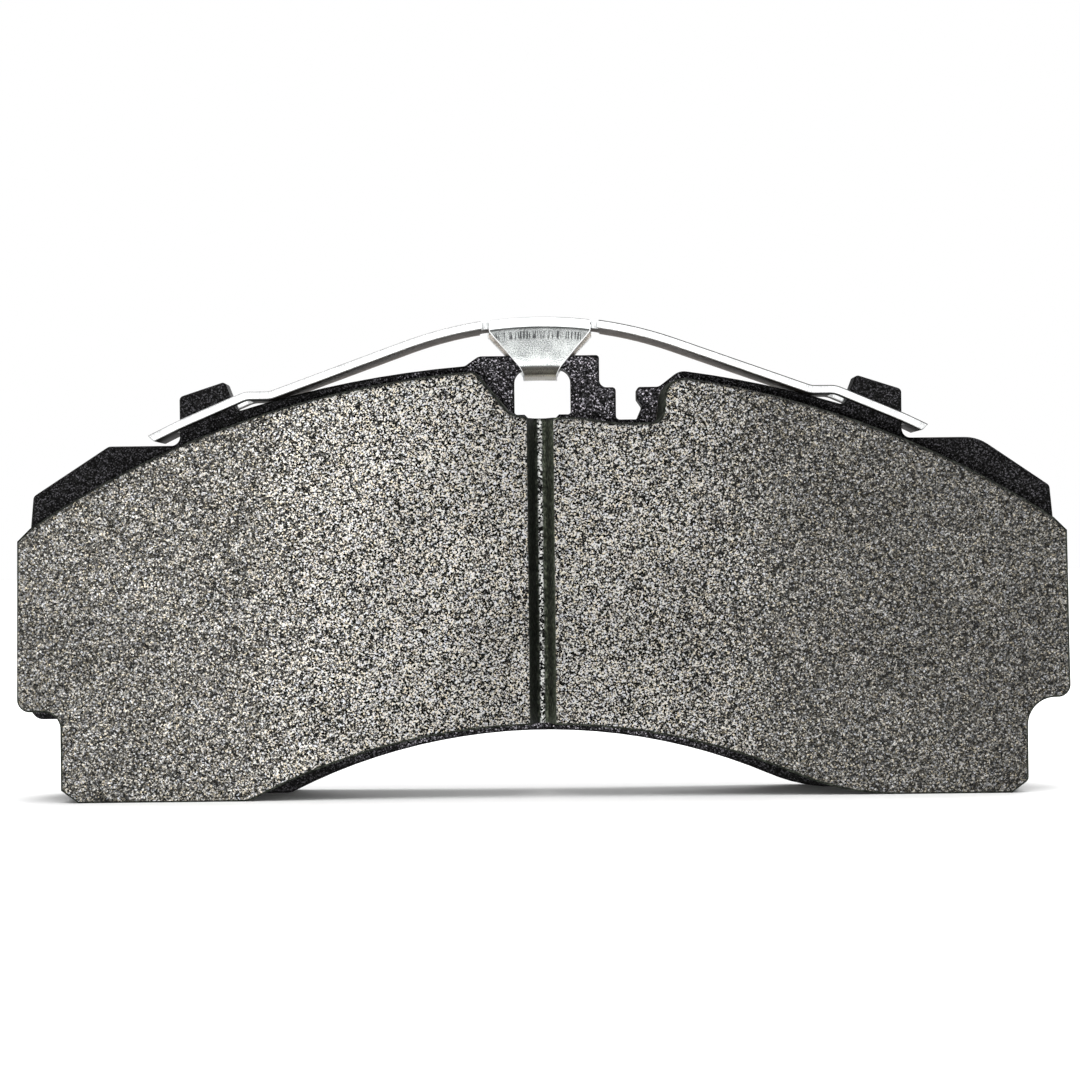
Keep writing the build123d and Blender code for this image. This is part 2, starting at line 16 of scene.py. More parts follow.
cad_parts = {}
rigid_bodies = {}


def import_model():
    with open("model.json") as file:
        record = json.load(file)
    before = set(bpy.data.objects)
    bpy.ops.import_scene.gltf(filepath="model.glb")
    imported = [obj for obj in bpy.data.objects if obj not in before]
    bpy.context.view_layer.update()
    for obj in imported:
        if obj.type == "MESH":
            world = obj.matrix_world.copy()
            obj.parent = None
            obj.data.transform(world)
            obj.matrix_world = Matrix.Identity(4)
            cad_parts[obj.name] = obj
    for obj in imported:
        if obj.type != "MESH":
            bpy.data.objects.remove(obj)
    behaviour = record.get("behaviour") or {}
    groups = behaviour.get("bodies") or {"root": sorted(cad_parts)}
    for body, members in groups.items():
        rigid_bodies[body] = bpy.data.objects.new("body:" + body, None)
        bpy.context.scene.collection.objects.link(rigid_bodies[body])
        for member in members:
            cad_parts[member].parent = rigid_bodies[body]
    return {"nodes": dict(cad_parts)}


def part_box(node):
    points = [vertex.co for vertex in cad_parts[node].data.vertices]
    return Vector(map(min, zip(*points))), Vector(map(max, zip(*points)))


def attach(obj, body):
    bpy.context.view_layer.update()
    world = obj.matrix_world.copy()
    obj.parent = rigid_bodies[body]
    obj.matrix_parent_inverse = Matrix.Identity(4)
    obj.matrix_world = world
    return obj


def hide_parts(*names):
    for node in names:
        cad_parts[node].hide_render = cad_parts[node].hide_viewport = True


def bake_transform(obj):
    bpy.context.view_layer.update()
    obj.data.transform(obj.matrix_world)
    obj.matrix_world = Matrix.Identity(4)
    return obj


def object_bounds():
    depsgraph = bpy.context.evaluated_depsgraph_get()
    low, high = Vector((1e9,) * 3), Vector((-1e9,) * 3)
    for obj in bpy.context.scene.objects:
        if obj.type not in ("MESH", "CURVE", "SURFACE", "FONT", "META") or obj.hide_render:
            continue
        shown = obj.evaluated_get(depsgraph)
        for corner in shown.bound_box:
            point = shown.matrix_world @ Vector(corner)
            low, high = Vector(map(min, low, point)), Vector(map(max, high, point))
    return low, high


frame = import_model()
for leftover in [o for o in bpy.data.objects if o.name in ("Cube", "Light", "Camera")]:
    bpy.data.objects.remove(leftover)
nodes = frame["nodes"]
cad_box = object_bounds()
MM = 0.001

# ---- leaf spring: sizes ----

crown_low, crown_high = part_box("spring_crown")
TIP_LEFT = -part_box("spring_arm_left")[0].x / MM
TIP_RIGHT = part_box("spring_arm_right")[1].x / MM
LEAF_MIDDLE = (crown_low.y + crown_high.y) / 2 / MM
LEAF_HALF = (crown_high.y - crown_low.y) / 2 / MM
LEAF_TOP = crown_high.z / MM
THICKNESS = 1.9
RIM = 0.24
CROWN_RADIUS = 98.0
CROWN_CENTRE = LEAF_TOP - CROWN_RADIUS
ARM_ANGLE = radians(19.74)
HEEL_X, TOE_X, KNEE_X = 65.7, 71.6, 88.5
TAIL_ANGLE, TIP_ANGLE = radians(23.0), radians(26.0)
HEEL_RADIUS, TOE_RADIUS, KNEE_RADIUS = 5.0, 6.9, 41.9
SLOT_START_X, SLOT_END_X, SLOT_HALF, SLOT_CORNER = 71.4, 89.35, 4.9, 1.6
TIP_CORNER = 0.5
TIP_BEVEL, TIP_BEVEL_RUN = 0.35, 3.0
SEAM = 17.6
FRONT_WING = (12.3, 4.1)
REAR_WING = (13.0, 4.2)
WING_STRAIGHT, WING_FOOT = 112.3, 101.9
FOLD = 2.5
LIP_BOTTOM, LIP_SLOPE, LIP_REACH, LIP_CORNER = 100.8, radians(4.0), 9.4, 1.5
RELIEF_WIDTH, RELIEF_DEPTH = 1.9, 3.4

# how finely the leaf is cut, how far its blanks pass the seam, and the sizes that its mesh repairs go by
ARC_STEPS = 8
EDGE_STEP = 0.5
ARM_SPACING, CROWN_SPACING, FLAP_SPACING, LIP_SPACING, BEND_SPACING = 1.5, 1.1, 1.2, 1.5, 0.4
BEND_CUTS = 6
SEAM_SPARE = 1
WELD_GAP, CUT_GAP, SLIVER = 1e-4, 1e-5, 1e-3
SKIN_LEVEL = 0.99
SHARP_ANGLE = radians(38)


# ---- leaf spring: the strip's top line in X and Z, by distance from the crown's middle ----


def top_line():
    """Pieces (start, x, z, heading, curvature) of the leaf's top line, then its whole length."""
    start_x = CROWN_RADIUS * sin(ARM_ANGLE)
    corners = [
        ((HEEL_X - start_x) / cos(ARM_ANGLE), ARM_ANGLE, HEEL_RADIUS),
        (TOE_X - HEEL_X, -TAIL_ANGLE, TOE_RADIUS),
        ((KNEE_X - TOE_X) / cos(TAIL_ANGLE), TAIL_ANGLE - TIP_ANGLE, KNEE_RADIUS),
        ((max(TIP_LEFT, TIP_RIGHT) - KNEE_X) / cos(TIP_ANGLE), 0.0, 0.0),
    ]
    runs = [(CROWN_RADIUS * ARM_ANGLE, -1 / CROWN_RADIUS)]
    used = 0.0
    for length, turn, radius in corners:
        tangent = radius * tan(abs(turn) / 2)
        runs.append((length - used - tangent, 0.0))
        if turn:
            runs.append((radius * abs(turn), (1 if turn > 0 else -1) / radius))
        used = tangent
    pieces = []
    start, x, z, heading = 0.0, 0.0, LEAF_TOP, 0.0
    for length, curvature in runs:
        pieces.append((start, x, z, heading, curvature))
        x, z, heading = along_piece(pieces[-1], start + length)
        start += length
    return pieces, start


def along_piece(piece, distance):
    """X, Z and heading on one piece of the top line, at a distance from the crown's middle."""
    start, x, z, heading, curvature = piece
    run = distance - start
    if not curvature:
        return x + run * cos(heading), z + run * sin(heading), heading
    end = heading + curvature * run
    return x + (sin(end) - sin(heading)) / curvature, z + (cos(heading) - cos(end)) / curvature, end


LINE, LINE_LENGTH = top_line()


def line_at(distance):
    """X, Z and heading of the top line at a distance from the crown's middle."""
    piece = max((p for p in LINE if p[0] <= distance), key=lambda p: p[0], default=LINE[0])
    return along_piece(piece, distance)


def distance_to(target_x):
    """Distance along the top line where it reaches an X."""
    low, high = 0.0, LINE_LENGTH
    for _ in range(50):
        middle = (low + high) / 2
        low, high = (middle, high) if line_at(middle)[0] < target_x else (low, middle)
    return low


def arm_bend(end):
    """The bend of an arm that ends at a distance along the line: a map from the flat strip into place."""

    def on_arm(distance, across, height):
        """Where a point of the flat strip goes: height is 0 on the top surface and negative below it."""
        last = min(max((distance - end) / TIP_BEVEL_RUN + 1.0, 0.0), 1.0)
        x, z, heading = line_at(distance + height * last * TIP_BEVEL)
        return Vector((x - height * sin(heading), LEAF_MIDDLE + across, z + height * cos(heading)))

    return on_arm


# ---- leaf spring: the crown's section, by distance from the strip's middle line ----

LIP_TURN = pi / 2 - LIP_SLOPE
LIP_TANGENT = FOLD * tan(LIP_TURN / 2)
FOLD_START = LEAF_HALF - FOLD
FLAP_START = FOLD_START + FOLD * pi / 2
FLAP_LENGTH = (LEAF_TOP - FOLD) - (LIP_BOTTOM + LIP_TANGENT)
TURN_START = FLAP_START + FLAP_LENGTH
LIP_START = TURN_START + FOLD * LIP_TURN
WING_END = LIP_START + LIP_REACH / cos(LIP_SLOPE) - LIP_TANGENT


def section_at(reach, height):
    """Y from the strip's middle and Z of the folded section."""
    if reach <= FOLD_START:
        return reach, LEAF_TOP + height
    radius = FOLD + height
    if reach <= FLAP_START:
        angle = (reach - FOLD_START) / FOLD
        return FOLD_START + radius * sin(angle), LEAF_TOP - FOLD + radius * cos(angle)
    if reach <= TURN_START:
        return LEAF_HALF + height, LEAF_TOP - FOLD - (reach - FLAP_START)
    angle = min((reach - TURN_START) / FOLD, LIP_TURN)
    past = max(reach - LIP_START, 0.0)
    y = FOLD_START + radius * cos(angle) - past * sin(angle)
    return y, LIP_BOTTOM + LIP_TANGENT - radius * sin(angle) - past * cos(angle)


def on_crown(distance, across, height):
    """Where a point of the flat crown blank goes. Outside the wings the strip stays flat across."""
    wing = FRONT_WING if across < 0 else REAR_WING
    side = -1 if across < 0 else 1
    folded = abs(distance) < wing[0] + RELIEF_WIDTH / 2
    y, z = section_at(abs(across), height) if folded else (abs(across), LEAF_TOP + height)
    angle = distance / CROWN_RADIUS
    radius = z - CROWN_CENTRE
    return Vector((radius * sin(angle), LEAF_MIDDLE + side * y, CROWN_CENTRE + radius * cos(angle)))


def corner_inset(distance, radius):
    """How far a rounded corner pulls an edge in, at a distance from the end it rounds."""
    short = max(radius - distance, 0.0)
    return radius - sqrt(max(radius**2 - short**2, 0.0))


def wing_edge(wing):
    """Points (distance, reach) down one edge of a wing, from the fold to the lip's end."""
    top, foot = wing
    stops = [FOLD_START + step * EDGE_STEP for step in range(1, ceil((WING_END - FOLD_START) / EDGE_STEP))]
    stops = [stop for stop in stops if stop < WING_END - LIP_CORNER]
    for step in range(ARC_STEPS + 1):
        stops.append(WING_END - LIP_CORNER * (1 - sin(step * pi / (2 * ARC_STEPS))))
    points = []
    for reach in stops:
        z = section_at(reach, -THICKNESS / 2)[1]
        share = min(max((WING_STRAIGHT - z) / (WING_STRAIGHT - WING_FOOT), 0.0), 1.0)
        x = top + (foot - top) * share - corner_inset(WING_END - reach, LIP_CORNER)
        points.append((CROWN_RADIUS * asin(x / (z - CROWN_CENTRE)), reach))
    return points


def crown_side(wing, side):
    """Half the crown blank's outline, from its left end to its right end along one edge."""
    near = CROWN_RADIUS * asin(wing[0] / CROWN_RADIUS)
    far = CROWN_RADIUS * asin((wing[0] + RELIEF_WIDTH) / CROWN_RADIUS)
    middle, half = (near + far) / 2, (far - near) / 2
    floor = LEAF_HALF - RELIEF_DEPTH
    turns = [step * pi / ARC_STEPS for step in range(ARC_STEPS + 1)]
    round_end = [(middle + half * cos(turn), floor - half * sin(turn)) for turn in turns]
    right = [(SEAM + SEAM_SPARE, LEAF_HALF), (far, LEAF_HALF), *round_end, *wing_edge(wing)]
    left = [(-distance, reach) for distance, reach in right]
    return [(distance, side * reach) for distance, reach in left + right[::-1]]


def rounded_rectangle(low, high, half, radius, sides):
    """An outline about the strip's middle line. sides says which ends, -1 or 1, have rounded corners."""
    points = []
    for end, across in ((1, -1), (1, 1), (-1, 1), (-1, -1)):
        at = high if end > 0 else low
        size = radius if end in sides else 0.0
        centre = Vector((at - end * size, across * (half - size)))
        first = {(1, -1): -pi / 2, (1, 1): 0.0, (-1, 1): pi / 2, (-1, -1): pi}[end, across]
        steps = ARC_STEPS if size else 0
        for step in range(steps + 1):
            angle = first + pi / 2 * step / max(steps, 1)
            points.append((centre.x + size * cos(angle), centre.y + size * sin(angle)))
    return points


def cuts(low, high, spacing):
    """Even places from low to high, both among them, no further apart than the spacing."""
    count = max(1, ceil((high - low) / spacing))
    return [low + (high - low) * step / count for step in range(count + 1)]


def slice_mesh(mesh, normal, at, **keep):
    """Cut a mesh along a plane. keep may say which side of the plane is cleared."""
    geometry = mesh.verts[:] + mesh.edges[:] + mesh.faces[:]
    spot = Vector(normal) * at
    bmesh.ops.bisect_plane(mesh, geom=geometry, dist=CUT_GAP, plane_co=spot, plane_no=normal, **keep)


def bent_sheet(name, loops, place, along, across, ends, mirrored=False):
    """A closed sheet with rounded rims, cut flat from the loops, sliced finely and then bent into place.

    place maps the flat strip into place, along and across are where it is sliced, and ends are the planes
    (clear below, X) that it stops at. Face materials: 0 the outer skin, 1 the inner skin, 2 the rims, 3 the
    rims' rounding next to the outer skin. The UV map is the flat blank in centimetres.
    """
    blank = bpy.data.curves.new(name, "CURVE")
    blank.dimensions = "2D"
    blank.fill_mode = "BOTH"
    for loop in loops:
        spline = blank.splines.new("POLY")
        spline.points.add(len(loop) - 1)
        for point, (x, y) in zip(spline.points, loop):
            point.co = (x, y, 0, 1)
        spline.use_cyclic_u = True
    blank.bevel_depth = RIM
    blank.bevel_resolution = 2
    blank.offset = -RIM
    blank.extrude = THICKNESS / 2 - RIM
    holder = bpy.data.objects.new(name + "_blank", blank)
    bpy.context.scene.collection.objects.link(holder)
    data = bpy.data.meshes.new_from_object(holder)
    bpy.data.objects.remove(holder)
    bpy.data.curves.remove(blank)

    mesh = bmesh.new()
    mesh.from_mesh(data)
    bmesh.ops.remove_doubles(mesh, verts=mesh.verts, dist=WELD_GAP)
    bmesh.ops.dissolve_limit(mesh, angle_limit=radians(0.5), verts=[], edges=mesh.edges[:])
    for low_side, at in ends:
        slice_mesh(mesh, (1, 0, 0), at, clear_inner=low_side, clear_outer=not low_side)
    bmesh.ops.holes_fill(mesh, edges=[edge for edge in mesh.edges if edge.is_boundary], sides=0)
    for normal, places in (((1, 0, 0), along), ((0, 1, 0), across)):
        for at in places:
            slice_mesh(mesh, normal, at)
    bmesh.ops.dissolve_degenerate(mesh, dist=SLIVER, edges=mesh.edges[:])
    bmesh.ops.recalc_face_normals(mesh, faces=mesh.faces)
    while mesh.loops.layers.uv:
        mesh.loops.layers.uv.remove(mesh.loops.layers.uv[0])
    skin = mesh.loops.layers.uv.new("blank")
    rounding = 1 - 2 * RIM / THICKNESS
    for face in mesh.faces:
        heights = [vert.co.z * 2 / THICKNESS for vert in face.verts]
        rim = 3 if min(heights) > rounding - (1 - SKIN_LEVEL) else 2
        face.material_index = 0 if min(heights) > SKIN_LEVEL else 1 if max(heights) < -SKIN_LEVEL else rim
        for loop in face.loops:
            loop[skin].uv = (loop.vert.co.x / 10, loop.vert.co.y / 10)
    for vert in mesh.verts:
        spot = place(vert.co.x, vert.co.y, vert.co.z - THICKNESS / 2)
        vert.co = Vector((-spot.x if mirrored else spot.x, spot.y, spot.z)) * MM
    if mirrored:
        bmesh.ops.reverse_faces(mesh, faces=mesh.faces)
    mesh.to_mesh(data)
    mesh.free()
    data.name = name
    data.shade_smooth()
    data.set_sharp_from_angle(angle=SHARP_ANGLE)
    piece = bpy.data.objects.new(name, data)
    bpy.context.scene.collection.objects.link(piece)
    return piece


def make_leaf():
    """The crown and the two arms, each cut flat and bent."""
    slot_low, slot_high = distance_to(SLOT_START_X), distance_to(SLOT_END_X)
    slot = rounded_rectangle(slot_low, slot_high, SLOT_HALF, SLOT_CORNER, (-1, 1))
    arm_cuts = cuts(SEAM, LINE_LENGTH, ARM_SPACING)[1:-1]
    for piece, following in zip(LINE[1:], LINE[2:]):
        start, bent = piece[0], piece[-1]
        if bent:
            arm_cuts += cuts(start, following[0], (following[0] - start) / BEND_CUTS)
    arms = []
    for name, tip, mirrored in (("leaf_arm_left", TIP_LEFT, True), ("leaf_arm_right", TIP_RIGHT, False)):
        end = distance_to(tip)
        blank = rounded_rectangle(SEAM - SEAM_SPARE, end, LEAF_HALF, TIP_CORNER, (1,))
        ends = [(True, SEAM)]
        arms.append(bent_sheet(name, [blank, slot], arm_bend(end), arm_cuts, [-5, 0, 5], ends, mirrored))
    crown_blank = crown_side(FRONT_WING, -1) + crown_side(REAR_WING, 1)[::-1]
    folds = cuts(FOLD_START, FLAP_START, BEND_SPACING)
    folds += cuts(FLAP_START, TURN_START, FLAP_SPACING)[1:]
    folds += cuts(TURN_START, LIP_START, BEND_SPACING)[1:]
    folds += cuts(LIP_START, WING_END, LIP_SPACING)[1:-1]
    crown_cuts = cuts(-SEAM, SEAM, CROWN_SPACING)[1:-1]
    fold_cuts = [side * reach for side in (-1, 1) for reach in folds]
    ends = [(True, -SEAM), (False, SEAM)]
    crown = bent_sheet("leaf_crown", [crown_blank], on_crown, crown_cuts, fold_cuts, ends)
    return crown, *arms


# ---- material kit ----


class Shader:
    """A Principled material with short calls for its procedural nodes."""

    def __init__(self, name, **values):
        self.material = bpy.data.materials.new(name)
        self.material.use_nodes = True
        self.tree = self.material.node_tree
        self.surface = self.tree.nodes["Principled BSDF"]
        self.fill(self.surface, values)
        self.texture = self.tree.nodes.new("ShaderNodeTexCoord")

    def fill(self, node, values):
        """Set a node's inputs, by name or index, to numbers, colours or other nodes' outputs."""
        for key, value in values.items():
            socket = node.inputs[key if isinstance(key, int) else key.replace("_", " ")]
            if isinstance(value, bpy.types.NodeSocket):
                self.tree.links.new(value, socket)
            elif isinstance(value, tuple) and len(value) == 3 and socket.type == "RGBA":
                socket.default_value = (*value, 1)
            else:
                socket.default_value = value

    def node(self, kind, values=(), **settings):
        made = self.tree.nodes.new("ShaderNode" + kind)
        for key, value in settings.items():
            setattr(made, key, value)
        self.fill(made, dict(values))
        return made

    def scaled(self, x=1.0, y=1.0, z=1.0, uv=False):
        """The object's own coordinates, or its UV map, scaled along each axis."""
        source = self.texture.outputs["UV" if uv else "Object"]
        return self.node("Mapping", {"Vector": source, "Scale": (x, y, z)}).outputs[0]

    def noise(self, scale, detail=2.0, vector=None, roughness=0.5):
        values = {"Scale": scale, "Detail": detail, "Roughness": roughness}
        return self.node("TexNoise", {"Vector": vector or self.scaled(), **values}).outputs["Fac"]

    def cells(self, size):
        """Voronoi cells of a size in metres: (distance from the nearest centre, random colour)."""
        made = self.node("TexVoronoi", {"Vector": self.scaled(), "Scale": 1 / size})
        return made.outputs["Distance"], made.outputs["Color"]

    def maths(self, operation, *values, clamp=False):
        return self.node("Math", enumerate(values), operation=operation, use_clamp=clamp).outputs[0]

    def spread(self, value, low, high, out_low=0.0, out_high=1.0):
        """Map low..high on to out_low..out_high, clamped."""
        values = {"Value": value, "From Min": low, "From Max": high, "To Min": out_low, "To Max": out_high}
        return self.node("MapRange", values).outputs[0]

    def band(self, value, rise, full, fade, end):
        """1 from full to fade, falling to 0 at rise and at end."""
        return self.maths("MULTIPLY", self.spread(value, rise, full), self.spread(value, end, fade))

    def ramp(self, value, *stops):
        """A colour ramp through (position, colour) stops."""
        made = self.node("ValToRGB", {"Fac": value})
        elements = made.color_ramp.elements
        while len(elements) > 1:
            elements.remove(elements[-1])
        elements[0].position, elements[0].color = stops[0][0], (*stops[0][1], 1)
        for at, colour in stops[1:]:
            elements.new(at).color = (*colour, 1)
        return made.outputs["Color"]

    def mix(self, share, first, second, blend="MIX"):
        made = self.node("Mix", data_type="RGBA", blend_type=blend)
        for index, value in ((0, share), (6, first), (7, second)):
            if isinstance(value, bpy.types.NodeSocket):
                self.tree.links.new(value, made.inputs[index])
            else:
                made.inputs[index].default_value = (*value, 1) if isinstance(value, tuple) else value
        return made.outputs[2]

    def times(self, first, second, share=1.0):
        return self.mix(share, first, second, "MULTIPLY")

    def grey(self, level):
        return self.node("CombineColor", {0: level, 1: level, 2: level}).outputs[0]

    def curve(self, value, low, high, *stops):
        """A smooth grey curve through (share of low..high, value) stops. Values may pass 1."""
        top = max(level for _, level in stops)
        scaled = [(at, (level / top,) * 3) for at, level in stops]
        grey = self.ramp(self.spread(value, low, high), *scaled)
        return self.maths("MULTIPLY", grey, top)

    def bump(self, height, distance, strength=1.0, after=None):
        values = {"Height": height, "Distance": distance, "Strength": strength}
        if after:
            values["Normal"] = after
        return self.node("Bump", values).outputs[0]

    def painted_edge_shade(self, radius, level=1.0):
        """Mask for painted shade along edges: 1 beside edges whose rounding faces up, level beside the
        other edges, and 0 away from them.
        """
        rounded = self.node("Bevel", {"Radius": radius}, samples=4).outputs[0]
        true = self.node("NewGeometry").outputs["Normal"]
        match = self.node("VectorMath", {0: rounded, 1: true}, operation="DOT_PRODUCT").outputs["Value"]
        upward = self.spread(self.split(rounded)[2], 0.02, 0.15, level, 1.0)
        return self.maths("MULTIPLY", self.spread(match, 0.995, 0.93), upward)

    def split(self, socket):
        parts = self.node("SeparateXYZ", {"Vector": socket}).outputs
        return parts[0], parts[1], parts[2]

    def channels(self, colour):
        parts = self.node("SeparateColor", {"Color": colour}).outputs
        return parts[0], parts[1], parts[2]

    def finish(self, **values):
        self.fill(self.surface, values)
        return self.material


# ---- materials ----

COARSE_GRAIN, FINE_GRAIN = 0.00036, 0.00023
FLOOR_GRAIN = 0.00042
FLAKE = 0.00026
LINING_HALF = 0.125
NEAR_BLACK = (0.002, 0.002, 0.002)


def composite_speckle(s, size, contrast=1.0):
    """Grey moulded composite: grains of two sizes, pale chips and dark pits. (colour, height)"""
    coarse_edge, coarse = s.cells(COARSE_GRAIN * size)
    fine_edge, fine = s.cells(FINE_GRAIN * size)
    coarse_value, coarse_tint, coarse_pick = s.channels(coarse)
    fine_value, _, fine_pick = s.channels(fine)
    level = s.maths("ADD", s.maths("MULTIPLY", coarse_value, 0.6), s.maths("MULTIPLY", fine_value, 0.4))
    level = s.maths("ADD", s.maths("MULTIPLY", s.maths("SUBTRACT", level, 0.5), contrast), 0.5)
    grey = s.ramp(
        level,
        (0.20, NEAR_BLACK),
        (0.40, (0.030, 0.030, 0.029)),
        (0.54, (0.120, 0.120, 0.118)),
        (0.68, (0.400, 0.400, 0.398)),
        (0.82, (1.000, 1.000, 1.000)),
    )
    tint = s.ramp(
        coarse_tint,
        (0.0, (1.14, 1.00, 0.72)),
        (0.30, (1.07, 1.00, 0.88)),
        (0.70, (1.01, 1.00, 0.96)),
        (1.0, (0.94, 0.97, 1.06)),
    )
    colour = s.times(grey, tint)
    chip = s.maths("MULTIPLY", s.spread(coarse_pick, 0.965, 0.975), s.spread(coarse_edge, 0.5, 0.35))
    colour = s.mix(s.maths("MULTIPLY", chip, contrast, clamp=True), colour, (0.85, 0.83, 0.78))
    pit = s.maths("MULTIPLY", s.spread(fine_pick, 0.12, 0.08), s.spread(fine_edge, 0.6, 0.4))
    colour = s.mix(pit, colour, (0.006, 0.006, 0.006))
    return colour, s.maths("SUBTRACT", s.maths("MULTIPLY", level, 0.6), pit)


def lining_material():
    """Ground, speckled grey face on dark moulded skin."""
    s = Shader("friction_composite", Metallic=0.0, Specular_IOR_Level=0.08)
    x, y, _ = s.split(s.texture.outputs["Object"])
    face_in_y = s.spread(y, -0.0165, -0.0172)
    colour, height = ground_face(s, x)
    skin, skin_value = moulded_skin(s, x, y)
    facing = s.split(s.texture.outputs["Normal"])[1]
    front = s.maths("MULTIPLY", s.spread(facing, -0.93, -0.99), face_in_y)
    colour = s.mix(front, skin, colour)
    # Painted shade and shadow: near-black along the lining's edges, full beside edges whose rounding faces
    # up and weak beside the others.
    colour = s.mix(s.maths("MULTIPLY", s.painted_edge_shade(0.0016, 0.12), 0.97), colour, NEAR_BLACK)
    rough = s.spread(s.noise(1100, 2.0), 0.3, 0.7, 0.6, 0.9)
    normal = s.bump(height, 0.00012, 0.45)
    normal = s.bump(skin_value, 0.0002, 0.3, normal)
    return s.finish(Base_Color=colour, Roughness=rough, Normal=normal)


def ground_face(s, x):
    """The ground face, more broken in the middle and darker from there towards +X. (colour, height)"""
    contrast = s.curve(
        x, -LINING_HALF, LINING_HALF,
        (0.0, 0.66), (0.22, 0.88), (0.40, 2.4), (0.56, 2.2), (0.72, 0.80), (0.88, 0.66),
    )
    shade = s.curve(
        x, -LINING_HALF, LINING_HALF,
        (0.0, 0.80), (0.2, 0.79), (0.45, 0.47), (0.60, 0.47), (0.75, 0.52), (0.95, 0.50),
    )
    speckle, height = composite_speckle(s, 1.0, contrast)
    smudge = s.spread(s.noise(34, 3.0), 0.3, 0.72, 0.80, 1.12)
    streak_noise = s.noise(1.0, 3.0, s.scaled(45, 1, 800), 0.6)
    toward_ends = s.spread(s.maths("ABSOLUTE", x), 0.050, 0.115, 0.1, 1.0)
    streak = s.maths("MULTIPLY", s.maths("SUBTRACT", streak_noise, 0.5), toward_ends)
    streak = s.spread(streak, -0.2, 0.2, 0.74, 1.26)
    shade = s.maths("MULTIPLY", s.maths("MULTIPLY", smudge, streak), shade)
    return s.times(speckle, s.grey(shade)), height


def moulded_skin(s, x, y):
    """Unground skin with painted light on the groove's +X wall, which is made paler, and a bright line
    along its floor. (colour, grain)
    """
    skin_value = s.noise(900, 4.0, roughness=0.7)
    skin = s.ramp(
        skin_value,
        (0.3, NEAR_BLACK),
        (0.50, (0.016, 0.019, 0.014)),
        (0.70, (0.080, 0.088, 0.070)),
    )
    in_groove = s.spread(s.maths("ABSOLUTE", x), 0.0045, 0.004)
    # Painted light: the groove's +X wall, which faces the lamp, is brightened about three times.
    skin = s.times(skin, (3.2, 3.2, 3.0), s.maths("MULTIPLY", in_groove, s.spread(x, 0.0, 0.001)))
    off_line = s.maths("ABSOLUTE", s.maths("ADD", x, 0.0003))
    floor = s.maths("MULTIPLY", s.spread(off_line, 0.0007, 0.0003), s.spread(y, -0.010, -0.008))
    grain_value = s.channels(s.cells(FLOOR_GRAIN)[1])[0]
    floor_grain = s.ramp(grain_value, (0.42, (0.004, 0.004, 0.004)), (0.82, (0.95, 0.95, 0.92)))
    return s.mix(s.maths("MULTIPLY", floor, in_groove), skin, floor_grain), skin_value


def plate_material():
    """Black coating with metallic flakes whose sparkle is painted glint, brightest on the bridge's front.
    """
    s = Shader("coated_plate", Metallic=0.0, Specular_IOR_Level=0.04)
    flake = s.channels(s.cells(FLAKE)[1])[0]
    x = s.split(s.texture.outputs["Object"])[0]
    facing = s.split(s.texture.outputs["Normal"])[1]
    # Painted highlight: the flakes glint brightest on the bridge in the middle and dimmer on faces turned
    # away from the front.
    painted_glint_strength = s.spread(s.maths("ABSOLUTE", x), 0.030, 0.060, 0.95, 0.74)
    painted_glint_strength = s.maths("MINIMUM", painted_glint_strength, s.spread(facing, -0.9, -0.5, 1.0, 0.70))
    sparkle = s.ramp(
        s.maths("MULTIPLY", flake, painted_glint_strength),
        (0.30, (0.0008, 0.0008, 0.0008)),
        (0.56, (0.017, 0.017, 0.017)),
        (0.84, (0.130, 0.124, 0.140)),
        (0.975, (1.00, 0.95, 1.05)),
    )
    cloud = s.spread(s.noise(120, 3.0), 0.3, 0.7, 0.55, 1.2)
    colour = s.times(sparkle, s.grey(cloud))
    # Painted shade: near-black along the plate's edges.
    colour = s.mix(s.maths("MULTIPLY", s.painted_edge_shade(0.0008), 0.9), colour, NEAR_BLACK)
    grain = s.noise(2600, 3.0, roughness=0.65)
    peel = s.noise(700, 2.0)
    normal = s.bump(peel, 0.00015, 0.3, s.bump(grain, 0.00006, 0.4))
    return s.finish(Base_Color=colour, Roughness=s.spread(grain, 0.3, 0.7, 0.45, 0.7), Normal=normal)


def underlayer_material():
    s = Shader("underlayer", Metallic=0.0, Specular_IOR_Level=0.3)
    speckle, height = composite_speckle(s, 2.4)
    colour = s.mix(0.72, speckle, (0.012, 0.011, 0.010))
    rough = s.spread(height, -0.5, 0.6, 0.7, 0.95)
    return s.finish(Base_Color=colour, Roughness=rough, Normal=s.bump(height, 0.0004, 0.6))


def film_material():
    s = Shader("adhesive", Metallic=0.0, Specular_IOR_Level=0.4)
    wave = s.noise(300, 4.0)
    colour = s.ramp(wave, (0.3, (0.045, 0.022, 0.010)), (0.7, (0.16, 0.085, 0.035)))
    rough = s.spread(wave, 0.3, 0.7, 0.35, 0.6)
    return s.finish(Base_Color=colour, Roughness=rough, Normal=s.bump(wave, 0.0001, 0.5))


def zinc_shader(name, dark, light, metallic, gloss=0.3):
    """Zinc plate with grain along the strip and cloudy passivation: (shader, colour, grain)."""
    s = Shader(name, Metallic=metallic, Specular_IOR_Level=gloss)
    cloud = s.noise(1.6, 4.0, s.scaled(uv=True), 0.6)
    grain = s.noise(1.0, 4.0, s.scaled(2.0, 42.0, 1.0, uv=True), 0.65)
    speck = s.noise(38.0, 2.0, s.scaled(uv=True), 0.7)
    level = s.maths("ADD", s.maths("MULTIPLY", cloud, 0.25), s.maths("MULTIPLY", grain, 0.15))
    level = s.maths("ADD", level, s.maths("MULTIPLY", speck, 0.6))
    return s, s.ramp(level, (0.42, dark), (0.58, light)), grain


